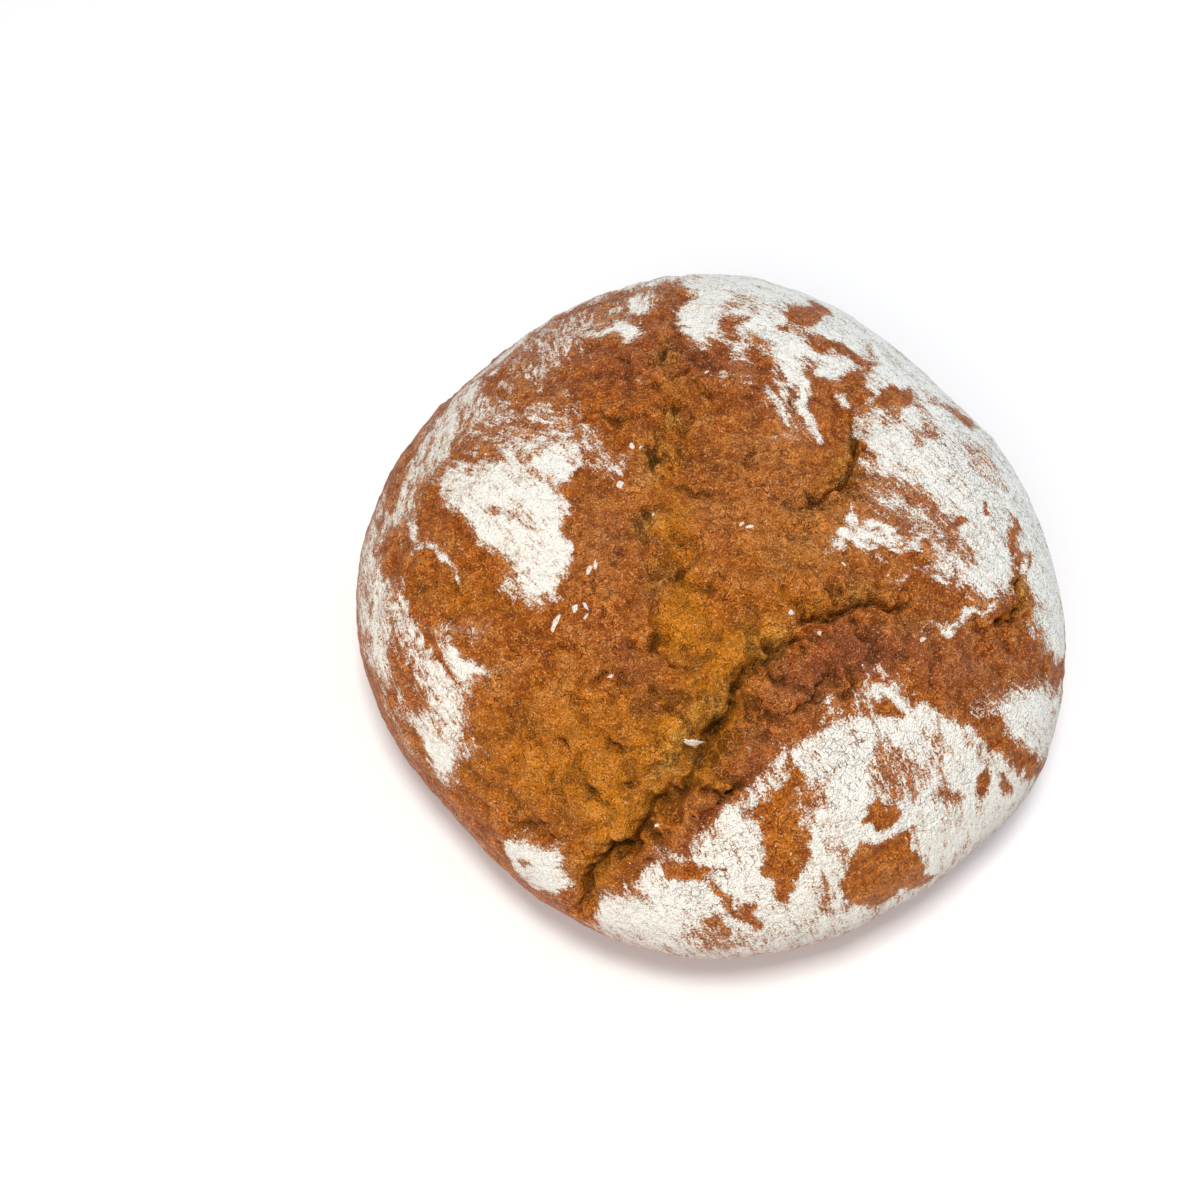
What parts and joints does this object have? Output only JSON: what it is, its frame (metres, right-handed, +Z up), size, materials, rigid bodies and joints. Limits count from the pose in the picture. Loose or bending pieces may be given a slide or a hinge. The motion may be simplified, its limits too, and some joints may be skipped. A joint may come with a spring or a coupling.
{
  "type": "farmhouse loaf",
  "caption": "Round rustic loaf with a torn, cracked brown crust dusted with flour and a flat base.",
  "frame": {"origin": "centre of the bounding box at the bottom, on the flat base", "axes": "+Z up from the base to the crown; -Y towards the side that the picture is taken from, where the main rift runs down the flank"},
  "size_m": [0.265, 0.2662, 0.0995],
  "materials": {
    "crust": "matt baked crust, dusted with flour in patches"
  },
  "bodies": {
    "root": {"loaf": "crust"}
  },
  "joints": []
}
